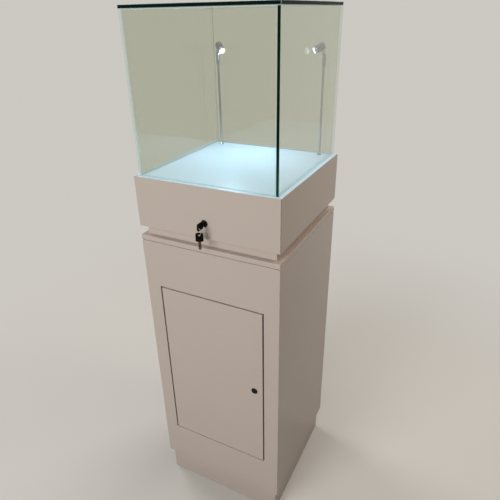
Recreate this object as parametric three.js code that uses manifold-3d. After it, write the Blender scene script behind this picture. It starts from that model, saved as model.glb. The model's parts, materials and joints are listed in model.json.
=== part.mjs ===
// Pedestal display case: a lacquered cupboard base carries an upper box with a glass hood.
// The upper front, the front pane and the deck pull out together on telescopic slides, and two
// pole lamps stay behind on a fixed strip. Millimetres, +Z up, the front faces -Y.
import * as THREE from "three";
import { mergeVertices } from "three/addons/utils/BufferGeometryUtils.js";
import Module from "manifold-3d";

// Case
const width = 400;
const depth = 400;
const board = 18;
const glue = 0.1;
const plinthHeight = 86;
const plinthRecess = 10;
const baseHeight = 812;
const topBoard = 15;
const neckHeight = 26;
const neckRecess = 14;
const upperHeight = 134;
const floorBoard = 15;
const cableHole = 10;
const cableBehind = 32;

// Door
const doorOpeningWidth = 314;
const doorOpeningHeight = 534;
const doorBelowSeam = 134.5;
const doorGap = 4;
const pivotInset = 14;
const pivotBehindFace = 8;
const pivotRadius = 2.5;
const pivotCollar = 5.5;
const pivotDepth = 13;
const pinClearance = 0.12;
const seatGap = 0.3;
const stopLength = 80;
const stopHeight = 30;
const stopThickness = 12;
const stopOverlap = 7;
const stopGap = 0.4;

// Pull-out deck
const deckBoard = 12;
const deckGap = 1;
const mitreGap = 1;
const drawerBoard = 12;
const drawerLift = 3;
const stripDepth = 34;
const slideWidth = 12.7;
const slideHeight = 45;
const slideLength = 300;
const slideSheet = 1.2;
const slideRace = 0.6;
const slideLip = 2;
const slideFrontGap = 5;

// Glass hood
const hoodHeight = 378;
const hoodInset = 9;
const glass = 8;
const bond = 0.2;
const paneGap = 1.5;

// Cam locks
const lockInset = 25;
const doorLockDrop = 264;
const drawerLockHeight = 41;
const bezelRadius = 9.5;
const bezelDepth = 2.6;
const barrelRadius = 8;
const plugRadius = 5.5;
const plugClearance = 0.2;
const nutAcrossFlats = 22;
const nutThickness = 4;
const lockFit = 0.3;
const camThickness = 2;
const camWidth = 14;
const camEngage = 10;
const camClearance = 1;
const tailSize = 6;
const rivetRadius = 4.5;
const rivetHeight = 1.5;
const strikeSheet = 2;
const strikeWidth = 36;
const strikeFoot = 18;

// Keys and ring
const keyHeadLength = 23;
const keyHeadWidth = 19;
const keyHeadCorner = 5;
const keyHeadThickness = 3;
const keyHole = 2.6;
const keyHoleInset = 6.5;
const keyBladeLength = 22;
const keyBladeWidth = 7;
const keyBladeThickness = 2;
const keyExposed = 6;
const keyRoot = 2;
const keyPoint = 2;
const keyNotches = 4;
const keyNotchStart = 3;
const keyNotchPitch = 3.4;
const keyNotchDepth = 1.6;
const keyNotchFade = 0.2;
const keywaySlack = 0.2;
const ringRadius = 9;
const ringWire = 0.6;
const ringSeat = 1.4;
const ringTurn = 35;
const spareTurn = 62;

// Pole lamps
const lampSideInset = 43;
const lampHeadroom = 104.5;
const lampAim = 33;
const leftNoseDown = 37;
const rightNoseDown = 26;
const poleRadius = 3;
const flangeRadius = 6;
const flangeThickness = 3;
const studRadius = 4;
const studBelow = 12;
const sleeveRadius = 5;
const sleeveLength = 32;
const sleeveClearance = 0.2;
const sleeveCap = 3;
const tiltForward = 2;
const tongueThickness = 4;
const tongueRadius = 3.6;
const trunnionRadius = 1.6;
const earThickness = 2;
const earGap = 0.3;
const headRadius = 9.5;
const headOffset = 14;
const headBehind = 7.5;
const headAhead = 21;
const bezelRing = 6;
const finCount = 10;
const finDepth = 1.4;
const finCrest = 0.45;
const finFlank = 0.1;
const lensRadius = 7.6;
const lensRim = 1;
const lensDome = 2;
const lensRecess = 3.5;
const lensFit = 0.2;

// Lamp driver and leads
const driverWidth = 110;
const driverHeight = 48;
const driverDepth = 30;
const driverDrop = 55;
const driverEar = 12;
const driverEarThickness = 3;
const leadRadius = 1.6;
const leadDrop = 20;
const trunkRadius = 2.2;
const trunkRise = 6.6;
const trunkEntry = 9;
const outletRadius = 10;
const outletHeight = 40;
const outletSide = 120;

// Small turned edges, and how far a cut or a joined stub runs past the face it meets
const chamfer = 1;
const overrun = 1;

// Facets of round pieces and steps along curves
const facets = 32;
const curveSteps = 8;
const domeSteps = 4;
const keyCurveSteps = 4;
const ringFacets = 6;
const ringSteps = 24;
const leadFacets = 8;
const leadSteps = 20;

// Levels and faces worked out from the sizes above
const halfWidth = width / 2;
const frontFace = -depth / 2;
const backFace = depth / 2;
const innerHalf = halfWidth - board;
const innerFront = frontFace + board;
const innerBack = backFace - board;
const baseTop = plinthHeight + baseHeight;
const baseSeam = baseTop - topBoard;
const upperBottom = baseTop + neckHeight;
const rim = upperBottom + upperHeight;
const floorTop = upperBottom + floorBoard;
const hoodTop = rim + hoodHeight;
const stripFront = innerBack - stripDepth;
const openingTop = baseSeam - doorBelowSeam;
const openingBottom = openingTop - doorOpeningHeight;
const doorLockZ = openingTop - doorLockDrop;
const openingHalf = doorOpeningWidth / 2;
const doorHalf = openingHalf - doorGap;
const doorBottom = openingBottom + doorGap;
const doorTop = openingTop - doorGap;
const pivotX = pivotInset - doorHalf;
const pivotY = frontFace + pivotBehindFace;
const pivotHoleRadius = pivotRadius + pinClearance;
const pivotHoleDepth = pivotDepth + seatGap;
const drawerLockZ = upperBottom + drawerLockHeight;
const cableY = innerBack - cableBehind;
const poleX = halfWidth - lampSideInset;
const poleY = stripFront + stripDepth / 2;
const poleBottom = rim - floorBoard - studBelow;
const keyReach = bezelDepth + keyExposed + keyHeadLength;
const nutCorner = nutAcrossFlats / Math.sqrt(3);
const camHub = nutCorner + camClearance;

const wasm = await Module();
wasm.setup();

const materials = {
  lacquer: finish(0xcfc5ba, 0.18, 0),
  deck: finish(0xe8eef2, 0.15, 0),
  inner: finish(0xd9d4cc, 0.5, 0),
  glass: new THREE.MeshStandardMaterial({
    color: 0xbfe0d6, roughness: 0.02, metalness: 0, transparent: true, opacity: 0.25,
  }),
  chrome: finish(0xd7d9dc, 0.08, 1),
  steel: finish(0xa9adb0, 0.35, 1),
  black: finish(0x14130f, 0.4, 0),
  lens: new THREE.MeshStandardMaterial({
    color: 0xffffff, roughness: 0.1, metalness: 0, emissive: 0xffffff, emissiveIntensity: 1,
  }),
  plastic: finish(0xe4e4e0, 0.45, 0),
  lead: finish(0xd8d8d4, 0.5, 0),
};

// Everything hangs from one group, moved back so that the origin is under the middle of its box.
const displayCase = new THREE.Group();
displayCase.position.y = keyReach / 2;

function finish(color, roughness, metalness) {
  return new THREE.MeshStandardMaterial({ color, roughness, metalness });
}

// A closed geometry as a solid that can be cut, with its faces turned outwards.
function toSolid(geometry) {
  const bare = geometry.clone();
  bare.deleteAttribute("normal");
  bare.deleteAttribute("uv");
  const merged = mergeVertices(bare, 1e-4);
  const points = merged.attributes.position.array;
  const triangles = [];
  let volume = 0;
  for (let i = 0; i < merged.index.count; i += 3) {
    const [a, b, c] = [0, 1, 2].map((k) => merged.index.getX(i + k));
    if (a === b || b === c || c === a) continue;
    triangles.push(a, b, c);
    const corners = [a, b, c].map((k) => new THREE.Vector3().fromArray(points, 3 * k));
    volume += corners[0].dot(corners[1].cross(corners[2]));
  }
  if (volume < 0) triangles.reverse();
  return new wasm.Manifold(new wasm.Mesh({
    numProp: 3,
    vertProperties: Float32Array.from(points),
    triVerts: Uint32Array.from(triangles),
  }));
}

function toGeometry(solid) {
  const mesh = solid.getMesh();
  const geometry = new THREE.BufferGeometry();
  geometry.setAttribute("position", new THREE.BufferAttribute(mesh.vertProperties, 3));
  geometry.setIndex(new THREE.BufferAttribute(mesh.triVerts, 1));
  geometry.computeVertexNormals();
  return geometry;
}

// Adds one named piece, made from a geometry or from a cut solid.
function addPiece(name, shape, material, parent = displayCase) {
  const mesh = new THREE.Mesh(shape.isBufferGeometry ? shape : toGeometry(shape), material);
  mesh.name = name;
  parent.add(mesh);
  return mesh;
}

function block([x0, x1], [y0, y1], [z0, z1]) {
  const geometry = new THREE.BoxGeometry(x1 - x0, y1 - y0, z1 - z0);
  return geometry.translate((x0 + x1) / 2, (y0 + y1) / 2, (z0 + z1) / 2);
}

// Round bar along Y or Z, from one level to the other.
function barY(radius, y0, y1, x, z) {
  const geometry = new THREE.CylinderGeometry(radius, radius, y1 - y0, facets);
  return toSolid(geometry.translate(x, (y0 + y1) / 2, z));
}

function barZ(radius, z0, z1, x, y) {
  const geometry = new THREE.CylinderGeometry(radius, radius, z1 - z0, facets);
  return toSolid(geometry.rotateX(Math.PI / 2).translate(x, y, (z0 + z1) / 2));
}

// Revolved profile of [radius, level] pairs, about Y or about Z.
function turnedY(profile) {
  return new THREE.LatheGeometry(profile.map(([r, y]) => new THREE.Vector2(r, y)), facets);
}

function turnedZ(profile) {
  return turnedY(profile).rotateX(Math.PI / 2);
}

// Outline of [x, y] pairs, extruded up from z0 to z1.
function extrudedZ(outline, z0, z1) {
  const shape = new THREE.Shape(outline.map(([x, y]) => new THREE.Vector2(x, y)));
  const geometry = new THREE.ExtrudeGeometry(shape, { depth: z1 - z0, bevelEnabled: false });
  return geometry.translate(0, 0, z0);
}

// Outline in X and Z, extruded along Y.
function extrudedY(shape, y0, y1) {
  const settings = { depth: y1 - y0, bevelEnabled: false, curveSegments: curveSteps };
  const geometry = new THREE.ExtrudeGeometry(shape, settings);
  return geometry.rotateX(Math.PI / 2).translate(0, y1, 0);
}

function ringOutline(radius, sides) {
  const outline = [];
  for (let i = 0; i < sides; i += 1) {
    const angle = (2 * Math.PI * i) / sides;
    outline.push([radius * Math.cos(angle), radius * Math.sin(angle)]);
  }
  return outline;
}

// Four boards round a square frame: the front and back ones run full width.
function addFrame(name, recess, z0, z1) {
  const x = halfWidth - recess;
  const front = frontFace + recess;
  const back = backFace - recess;
  const between = [front + board + glue, back - board - glue];
  addPiece(`${name}_front`, block([-x, x], [front, front + board], [z0, z1]), materials.lacquer);
  addPiece(`${name}_back`, block([-x, x], [back - board, back], [z0, z1]), materials.lacquer);
  addPiece(`${name}_left`, block([-x, board - x], between, [z0, z1]), materials.lacquer);
  addPiece(`${name}_right`, block([x - board, x], between, [z0, z1]), materials.lacquer);
}

function addBase() {
  const bottom = plinthHeight + glue;
  const sideY = [innerFront + glue, innerBack - glue];
  const height = [bottom, baseSeam - glue];
  const inside = innerHalf - glue;
  addPiece("base_panel", block([-inside, inside], sideY, [bottom, bottom + board]), materials.inner);
  addPiece("left_panel", block([-halfWidth, -innerHalf], sideY, height), materials.lacquer);
  addPiece("right_panel", block([innerHalf, halfWidth], sideY, height), materials.lacquer);

  const front = toSolid(block([-halfWidth, halfWidth], [frontFace, innerFront], height))
    .subtract(toSolid(block(
      [-openingHalf, openingHalf],
      [frontFace - overrun, innerFront + overrun],
      [openingBottom, openingTop],
    )))
    .subtract(pivotHole(openingTop - overrun, openingTop + pivotHoleDepth))
    .subtract(pivotHole(openingBottom - pivotHoleDepth, openingBottom + overrun));
  addPiece("front_panel", front, materials.lacquer);

  const outletZ = plinthHeight + board + outletHeight;
  const back = toSolid(block([-halfWidth, halfWidth], [innerBack, backFace], height))
    .subtract(barY(outletRadius, innerBack - overrun, backFace + overrun, -outletSide, outletZ));
  addPiece("back_panel", back, materials.lacquer);

  const top = toSolid(block([-halfWidth, halfWidth], [frontFace, backFace], [baseSeam, baseTop]))
    .subtract(barZ(cableHole, baseSeam - overrun, baseTop + overrun, 0, cableY));
  addPiece("top_panel", top, materials.lacquer);
}

function pivotHole(z0, z1) {
  return barZ(pivotHoleRadius, z0, z1, pivotX, pivotY);
}

// Inset door on two collared pivot pins near its left edge, with a stop at its top right.
function addDoor() {
  const lockX = doorHalf - lockInset;
  const lockHole = barY(
    barrelRadius + lockFit, frontFace - overrun, innerFront + overrun, lockX, doorLockZ,
  );
  const leaf = toSolid(block([-doorHalf, doorHalf], [frontFace, innerFront], [doorBottom, doorTop]))
    .subtract(pivotHole(doorTop - pivotHoleDepth, doorTop + overrun))
    .subtract(pivotHole(doorBottom - overrun, doorBottom + pivotHoleDepth))
    .subtract(lockHole);
  addPiece("door", leaf, materials.lacquer);

  const collar = doorGap / 2 - seatGap;
  const reach = doorGap / 2 + pivotDepth;
  const pin = [
    [0, -reach], [pivotRadius, -reach], [pivotRadius, -collar], [pivotCollar, -collar],
    [pivotCollar, collar], [pivotRadius, collar], [pivotRadius, reach], [0, reach],
  ];
  const levels = { top: openingTop - doorGap / 2, bottom: openingBottom + doorGap / 2 };
  for (const [place, z] of Object.entries(levels)) {
    addPiece(`hinge_pin_${place}`, turnedZ(pin), materials.steel).position.set(pivotX, pivotY, z);
  }

  const stopFront = innerFront + stopGap;
  const stop = block(
    [lockX - stopLength, lockX],
    [stopFront, stopFront + stopThickness],
    [doorTop - stopOverlap, doorTop - stopOverlap + stopHeight],
  );
  addPiece("door_stop", stop, materials.inner);

  const lock = new THREE.Group();
  lock.position.set(lockX, frontFace, doorLockZ);
  displayCase.add(lock);
  const camReach = lockInset + doorGap + camEngage;
  const crank = nutThickness + glue - camClearance;
  addLock("door_lock", lock, camReach, crank, -Math.PI / 2);
}

// Cam lock: a barrel through the board, its nut, and a plug that carries the cam on its tail.
function addLock(name, parent, camReach, crank, camAngle) {
  const barrelEnd = board + glue + nutThickness;
  const bore = plugRadius + plugClearance;
  const body = turnedY([
    [bore, -bezelDepth], [bezelRadius - chamfer, -bezelDepth], [bezelRadius, chamfer - bezelDepth],
    [bezelRadius, -glue], [barrelRadius, -glue], [barrelRadius, barrelEnd],
    [bore, barrelEnd], [bore, -bezelDepth],
  ]);
  addPiece(`${name}_body`, body, materials.chrome, parent);

  const hexagon = extrudedZ(ringOutline(nutCorner, 6), 0, nutThickness);
  const nut = toSolid(hexagon.rotateX(-Math.PI / 2).translate(0, board + glue, 0))
    .subtract(barY(barrelRadius + lockFit, board, barrelEnd + overrun, 0, 0));
  addPiece(`${name}_nut`, nut, materials.steel, parent);

  const camFront = barrelEnd + seatGap;
  const camBack = camFront + camThickness;
  const rivetFront = camBack + glue;
  const half = tailSize / 2;
  const keyway = block(
    [-keyBladeThickness / 2 - keywaySlack, keyBladeThickness / 2 + keywaySlack],
    [-bezelDepth - overrun, keyBladeLength - keyExposed - bezelDepth + overrun],
    [-keyBladeWidth / 2 - keywaySlack, keyBladeWidth / 2 + keywaySlack],
  );
  const plug = barY(plugRadius, -bezelDepth, barrelEnd, 0, 0)
    .add(toSolid(block([-half, half], [barrelEnd - overrun, rivetFront + rivetHeight / 2], [-half, half])))
    .add(barY(rivetRadius, rivetFront, rivetFront + rivetHeight, 0, 0))
    .subtract(toSolid(keyway));
  addPiece(`${name}_plug`, plug, materials.chrome, parent);

  const cam = camPlate(camReach, crank, camFront, camAngle);
  addPiece(`${name}_cam`, cam, materials.steel, parent);
}

// Cam with rounded ends, a square hole, and its tip set forwards by the crank.
function camPlate(reach, crank, level, angle) {
  const bend = camHub + Math.max(crank, glue);
  const side = [
    [-camWidth / 2, level], [camHub, level], [bend, level - crank], [reach, level - crank],
    [reach, level - crank + camThickness], [bend, level - crank + camThickness],
    [camHub, level + camThickness], [-camWidth / 2, level + camThickness],
  ];
  const plan = new THREE.Shape();
  plan.absarc(0, 0, camWidth / 2, Math.PI / 2, (3 * Math.PI) / 2);
  plan.absarc(reach - camWidth / 2, 0, camWidth / 2, -Math.PI / 2, Math.PI / 2);
  const hole = tailSize / 2 + glue;
  const front = level - crank - overrun;
  const back = level + camThickness + overrun;
  return toSolid(extrudedZ(side, -camWidth / 2, camWidth / 2))
    .intersect(toSolid(extrudedY(plan, front, back)))
    .subtract(toSolid(block([-hole, hole], [level - overrun, back], [-hole, hole])))
    .rotate([0, THREE.MathUtils.radToDeg(angle), 0]);
}

// Upper box: side walls mitred to the pull-out front, back wall, floor and fixed lamp strip.
function addUpperBox() {
  const mitre = mitreGap * Math.SQRT2;
  const wallBack = innerBack - glue;
  const bottom = upperBottom + glue;
  for (const [name, side] of [["left", -1], ["right", 1]]) {
    const outline = [
      [side * halfWidth, frontFace + mitre], [side * halfWidth, wallBack],
      [side * innerHalf, wallBack], [side * innerHalf, innerFront + mitre],
    ];
    const wall = toSolid(extrudedZ(side > 0 ? outline : outline.reverse(), bottom, rim));
    addPiece(`upper_${name}`, wall, materials.lacquer);
  }
  const back = block([-halfWidth, halfWidth], [innerBack, backFace], [bottom, rim]);
  addPiece("upper_back", back, materials.lacquer);

  const inside = innerHalf - glue;
  const floor = toSolid(block([-inside, inside], [innerFront + mitreGap, wallBack], [bottom, floorTop]))
    .subtract(barZ(cableHole, upperBottom - overrun, floorTop + overrun, 0, cableY));
  addPiece("upper_floor", floor, materials.inner);

  const stripBottom = rim - floorBoard;
  let strip = toSolid(block([-inside, inside], [stripFront, wallBack], [stripBottom, rim]));
  for (const x of [-poleX, poleX]) {
    strip = strip.subtract(
      barZ(studRadius + lockFit, stripBottom - overrun, rim + overrun, x, poleY),
    );
  }
  addPiece("lamp_strip", strip, materials.deck);

  const strikeTop = drawerLockZ - nutCorner - 2 * camClearance;
  const strikeFront = innerFront + camClearance;
  const foot = [strikeFront, strikeFront + strikeFoot];
  const upstand = [strikeFront, strikeFront + strikeSheet];
  const halfStrike = strikeWidth / 2;
  const footTop = floorTop + glue + strikeSheet;
  const strike = toSolid(block([-halfStrike, halfStrike], foot, [floorTop + glue, footTop]))
    .add(toSolid(block([-halfStrike, halfStrike], upstand, [floorTop + glue, strikeTop])));
  addPiece("lock_strike", strike, materials.steel);
}

// Pull-out front with the deck on two side boards, and the front pane standing on it.
function addDrawer() {
  const outline = [
    [-halfWidth, frontFace], [halfWidth, frontFace], [innerHalf, innerFront], [-innerHalf, innerFront],
  ];
  const lockHole = barY(
    barrelRadius + lockFit, frontFace - overrun, innerFront + overrun, 0, drawerLockZ,
  );
  const front = toSolid(extrudedZ(outline, upperBottom + glue, rim)).subtract(lockHole);
  addPiece("drawer_front", front, materials.lacquer);

  const behindFront = innerFront + glue;
  const deckHalf = innerHalf - deckGap;
  const deckUnder = rim - deckBoard;
  const deck = block([-deckHalf, deckHalf], [behindFront, stripFront - deckGap], [deckUnder, rim]);
  addPiece("deck", deck, materials.deck);

  const sideOuter = innerHalf - slideWidth;
  const sideInner = sideOuter - drawerBoard;
  const length = [behindFront, stripFront - 2 * deckGap];
  const height = [floorTop + drawerLift, deckUnder - glue];
  addPiece("drawer_side_left", block([-sideOuter, -sideInner], length, height), materials.inner);
  addPiece("drawer_side_right", block([sideInner, sideOuter], length, height), materials.inner);

  const lock = new THREE.Group();
  lock.position.set(0, frontFace, drawerLockZ);
  displayCase.add(lock);
  const footClear = strikeSheet + glue + camClearance;
  const camReach = drawerLockHeight - floorBoard - footClear - camClearance;
  addLock("drawer_lock", lock, camReach, 0, 0);
}

// Three nested channels on each side: on the wall, in between, and on the drawer side.
function addSlides() {
  const middleZ = (floorTop + rim - deckBoard) / 2;
  const y0 = innerFront + slideFrontGap;
  const wall = innerHalf - glue;
  const drawer = innerHalf - slideWidth + glue;
  const outerHalf = slideHeight / 2;
  const middleHalf = outerHalf - slideSheet - slideRace;
  const innerSlideHalf = middleHalf - slideSheet - slideRace;
  const middleWeb = wall - slideSheet - slideRace;
  const channels = [
    ["outer", wall, drawer + slideLip, outerHalf],
    ["middle", middleWeb, drawer + slideLip, middleHalf],
    ["inner", drawer, middleWeb - slideSheet - slideRace, innerSlideHalf],
  ];
  for (const [hand, side] of [["left", -1], ["right", 1]]) {
    for (const [member, web, edge, half] of channels) {
      const inward = Math.sign(edge - web);
      const outline = [
        [web, -half], [edge, -half], [edge, slideSheet - half],
        [web + inward * slideSheet, slideSheet - half], [web + inward * slideSheet, half - slideSheet],
        [edge, half - slideSheet], [edge, half], [web, half],
      ].map(([x, z]) => new THREE.Vector2(side * x, middleZ + z));
      const channel = toSolid(extrudedY(new THREE.Shape(outline), y0, y0 + slideLength));
      addPiece(`slide_${member}_${hand}`, channel, materials.steel);
    }
  }
}

// Fixed side, back and top panes, and the front pane that travels with the pull-out front.
function addHood() {
  const x = halfWidth - hoodInset;
  const front = frontFace + hoodInset;
  const back = backFace - hoodInset;
  const bottom = rim + bond;
  const sideTop = hoodTop - glass - bond;
  const height = [bottom, sideTop];
  const between = x - glass - bond;
  addPiece("hood_left", block([-x, glass - x], [front, back], height), materials.glass);
  addPiece("hood_right", block([x - glass, x], [front, back], height), materials.glass);
  addPiece("hood_back", block([-between, between], [back - glass, back], height), materials.glass);
  addPiece("hood_top", block([-x, x], [front, back], [hoodTop - glass, hoodTop]), materials.glass);
  const sliding = x - glass - paneGap;
  const frontHeight = [bottom, hoodTop - glass - paneGap];
  const pane = block([-sliding, sliding], [front, front + glass], frontHeight);
  addPiece("hood_front", pane, materials.glass);
}

// Key outline along Y and Z: a rounded head with a hole, and a notched blade towards +Y.
function keyShape() {
  const far = -keyExposed - keyHeadLength;
  const near = -keyExposed;
  const half = keyHeadWidth / 2;
  const corner = keyHeadCorner;
  const head = new THREE.Shape();
  head.moveTo(far + corner, -half);
  head.lineTo(near - corner / 2, -half);
  head.quadraticCurveTo(near, -half, near, -half + corner / 2);
  head.lineTo(near, half - corner / 2);
  head.quadraticCurveTo(near, half, near - corner / 2, half);
  head.lineTo(far + corner, half);
  head.quadraticCurveTo(far, half, far, half - corner);
  head.lineTo(far, corner - half);
  head.quadraticCurveTo(far, -half, far + corner, -half);
  const settings = { depth: keyHeadThickness, bevelEnabled: false, curveSegments: keyCurveSteps };
  const headPlate = toSolid(
    new THREE.ExtrudeGeometry(head, settings).translate(0, 0, -keyHeadThickness / 2),
  ).subtract(barZ(keyHole, -keyHeadThickness, keyHeadThickness, far + keyHoleInset, 0));

  const tip = keyBladeLength - keyExposed;
  const root = near - keyRoot;
  const halfBlade = keyBladeWidth / 2;
  const blade = [[root, -halfBlade], [tip - keyPoint, -halfBlade], [tip, 0], [tip - keyPoint, halfBlade]];
  for (let i = 0; i < keyNotches; i += 1) {
    const y = tip - keyNotchStart - i * keyNotchPitch;
    const notch = keyNotchDepth * (1 - keyNotchFade * i);
    blade.push([y, halfBlade], [y - keyNotchPitch / 2, halfBlade - notch]);
  }
  blade.push([tip - keyNotchStart - keyNotches * keyNotchPitch, halfBlade], [root, halfBlade]);
  const bladePlate = extrudedZ(blade, -keyBladeThickness / 2, keyBladeThickness / 2);
  // Drawn flat in X and Y, then stood up: its length lies on Y and its width on Z.
  return headPlate.add(toSolid(bladePlate)).rotate([90, 0, 90]);
}

function addKeys() {
  const plugFace = frontFace - bezelDepth;
  const holeY = plugFace - keyExposed - keyHeadLength + keyHoleInset;
  const ringTop = drawerLockZ - keyHole + ringSeat;
  const ringMiddle = ringTop - ringRadius;
  const spareHole = ringMiddle - ringRadius + ringSeat - keyHole;
  const shape = toGeometry(keyShape());
  addPiece("key", shape, materials.black).position.set(0, plugFace, drawerLockZ);

  const torus = new THREE.TorusGeometry(ringRadius, ringWire, ringFacets, ringSteps);
  const ring = addPiece("key_ring", torus.rotateX(Math.PI / 2), materials.chrome);
  ring.position.set(0, holeY, ringMiddle);
  ring.rotation.z = THREE.MathUtils.degToRad(-ringTurn);

  const hanging = shape.clone().translate(0, keyExposed + keyHeadLength - keyHoleInset, 0);
  const spare = addPiece("spare_key", hanging.rotateX(-Math.PI / 2), materials.black);
  spare.position.set(0, holeY, spareHole);
  spare.rotation.z = THREE.MathUtils.degToRad(-spareTurn);
}

// Pole lamp at a back corner, built with its aim along the group's X.
function addLamp(name, side, noseDown) {
  const lamp = new THREE.Group();
  lamp.position.set(side * poleX, poleY, rim);
  const inward = side > 0 ? Math.PI : 0;
  lamp.rotation.z = inward + side * THREE.MathUtils.degToRad(lampAim);
  displayCase.add(lamp);

  const tiltZ = hoodHeight - glass - lampHeadroom;
  const sleeveTop = tiltZ - tongueRadius - seatGap;
  const poleTop = sleeveTop - sleeveCap - seatGap;
  const studEnd = poleBottom - rim;
  const pole = turnedZ([
    [0, studEnd], [studRadius, studEnd], [studRadius, glue], [flangeRadius, glue],
    [flangeRadius, flangeThickness - chamfer], [flangeRadius - chamfer, flangeThickness],
    [poleRadius, flangeThickness], [poleRadius, poleTop], [0, poleTop],
  ]);
  addPiece(`${name}_pole`, pole, materials.chrome, lamp);

  const bore = poleRadius + sleeveClearance;
  const tube = toSolid(turnedZ([
    [0, poleTop + seatGap], [bore, poleTop + seatGap], [bore, sleeveTop - sleeveLength],
    [sleeveRadius, sleeveTop - sleeveLength], [sleeveRadius, sleeveTop - chamfer],
    [sleeveRadius - chamfer, sleeveTop], [0, sleeveTop],
  ]));
  const tongue = new THREE.Shape();
  tongue.absarc(tiltForward, tiltZ, tongueRadius, 0, Math.PI);
  tongue.lineTo(tiltForward - tongueRadius, sleeveTop - overrun);
  tongue.lineTo(tiltForward + tongueRadius - chamfer, sleeveTop - overrun);
  const halfTongue = tongueThickness / 2;
  const trunnion = halfTongue + earGap + earThickness + earGap;
  const sleeve = tube
    .add(toSolid(extrudedY(tongue, -halfTongue, halfTongue)))
    .add(barY(trunnionRadius, -trunnion, trunnion, tiltForward, tiltZ));
  addPiece(`${name}_sleeve`, sleeve, materials.chrome, lamp);

  const head = new THREE.Group();
  head.position.set(tiltForward, 0, tiltZ);
  head.rotation.y = THREE.MathUtils.degToRad(noseDown);
  lamp.add(head);
  addPiece(`${name}_head`, lampHead(), materials.chrome, head);
  const lensBack = headAhead - lensRecess + lensFit;
  const domed = [[0, lensBack], [lensRadius, lensBack]];
  for (let i = 0; i <= domeSteps; i += 1) {
    const angle = (Math.PI / 2) * (i / domeSteps);
    const r = i < domeSteps ? lensRadius * Math.cos(angle) : 0;
    domed.push([r, lensBack + lensRim + lensDome * Math.sin(angle)]);
  }
  addPiece(`${name}_lens`, turnedX(domed).translate(0, 0, headOffset), materials.lens, head);
}

function turnedX(profile) {
  return turnedY(profile).rotateZ(-Math.PI / 2);
}

// Finned barrel with a plain bezel ring, a recess for the lens and two ears under it.
function lampHead() {
  const finned = [];
  const step = (2 * Math.PI) / finCount;
  const crest = headRadius;
  const groove = headRadius - finDepth;
  const corners = [[0, crest], [finCrest, crest], [finCrest + finFlank, groove], [1 - finFlank, groove]];
  for (let i = 0; i < finCount; i += 1) {
    for (const [part, radius] of corners) {
      const angle = (i + part) * step;
      finned.push([radius * Math.cos(angle), radius * Math.sin(angle)]);
    }
  }
  const bezelBack = headAhead - bezelRing;
  const barrel = toSolid(extrudedZ(finned, -headBehind, bezelBack + overrun));
  const bezel = toSolid(turnedZ([
    [0, bezelBack], [headRadius, bezelBack], [headRadius, headAhead - chamfer],
    [headRadius - chamfer, headAhead], [0, headAhead],
  ]));
  const recess = barZ(lensRadius + lensFit, headAhead - lensRecess, headAhead + overrun, 0, 0);
  const round = barrel.add(bezel).subtract(recess).rotate([0, 90, 0]).translate([0, 0, headOffset]);

  const ear = new THREE.Shape();
  const earTop = headOffset - groove + overrun;
  ear.absarc(0, 0, tongueRadius, Math.PI, 0);
  ear.lineTo(tongueRadius, earTop);
  ear.lineTo(-tongueRadius, earTop);
  const earFront = tongueThickness / 2 + earGap;
  const hole = barY(trunnionRadius + sleeveClearance, -headRadius, headRadius, 0, 0);
  return round
    .add(toSolid(extrudedY(ear, earFront, earFront + earThickness)))
    .add(toSolid(extrudedY(ear, -earFront - earThickness, -earFront)))
    .subtract(hole);
}

// Lamp driver on the back panel, and the joined lead that comes down to it from both poles.
function addDriver() {
  const top = baseSeam - driverDrop;
  const bottom = top - driverHeight;
  const back = innerBack - glue;
  const half = driverWidth / 2;
  const middle = (top + bottom) / 2;
  const ears = block(
    [-half - driverEar, half + driverEar],
    [back - driverEarThickness, back],
    [middle - driverEar, middle + driverEar],
  );
  const box = toSolid(block([-half, half], [back - driverDepth, back], [bottom, top]))
    .add(toSolid(ears));
  addPiece("led_driver", box, materials.plastic);

  const entryY = back - driverDepth / 2;
  const joinZ = floorTop + trunkRise;
  let harness = lead(trunkRadius, [
    [0, cableY, joinZ + trunkRadius], [0, cableY, floorTop], [0, cableY, baseSeam],
    [0, (cableY + entryY) / 2, (baseSeam + top) / 2], [0, entryY, top + trunkEntry],
    [0, entryY, top + seatGap],
  ]);
  for (const side of [-1, 1]) {
    const start = poleBottom - seatGap;
    const branch = lead(leadRadius, [
      [side * poleX, poleY, start], [side * poleX, poleY, start - leadDrop],
      [side * (poleX - leadDrop), poleY, joinZ + leadDrop],
      [(side * poleX) / 2, (poleY + cableY) / 2, joinZ + leadRadius], [0, cableY, joinZ],
    ]);
    harness = harness.add(branch);
  }
  addPiece("lamp_lead", harness, materials.lead);
}

// Round lead along a smooth curve through the points of its route.
function lead(radius, route) {
  const section = new THREE.Shape(
    ringOutline(radius, leadFacets).map(([x, y]) => new THREE.Vector2(x, y)),
  );
  const curve = new THREE.CatmullRomCurve3(route.map((point) => new THREE.Vector3(...point)));
  const settings = { steps: leadSteps, extrudePath: curve, bevelEnabled: false };
  return toSolid(new THREE.ExtrudeGeometry(section, settings));
}

addFrame("plinth", plinthRecess, 0, plinthHeight);
addBase();
addDoor();
addFrame("neck", neckRecess, baseTop + glue, upperBottom);
addUpperBox();
addDrawer();
addSlides();
addHood();
addKeys();
addLamp("lamp_left", -1, leftNoseDown);
addLamp("lamp_right", 1, rightNoseDown);
addDriver();

export default displayCase;
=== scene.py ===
import json
import math

import bmesh
import bpy
from mathutils import Matrix, Vector

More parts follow.
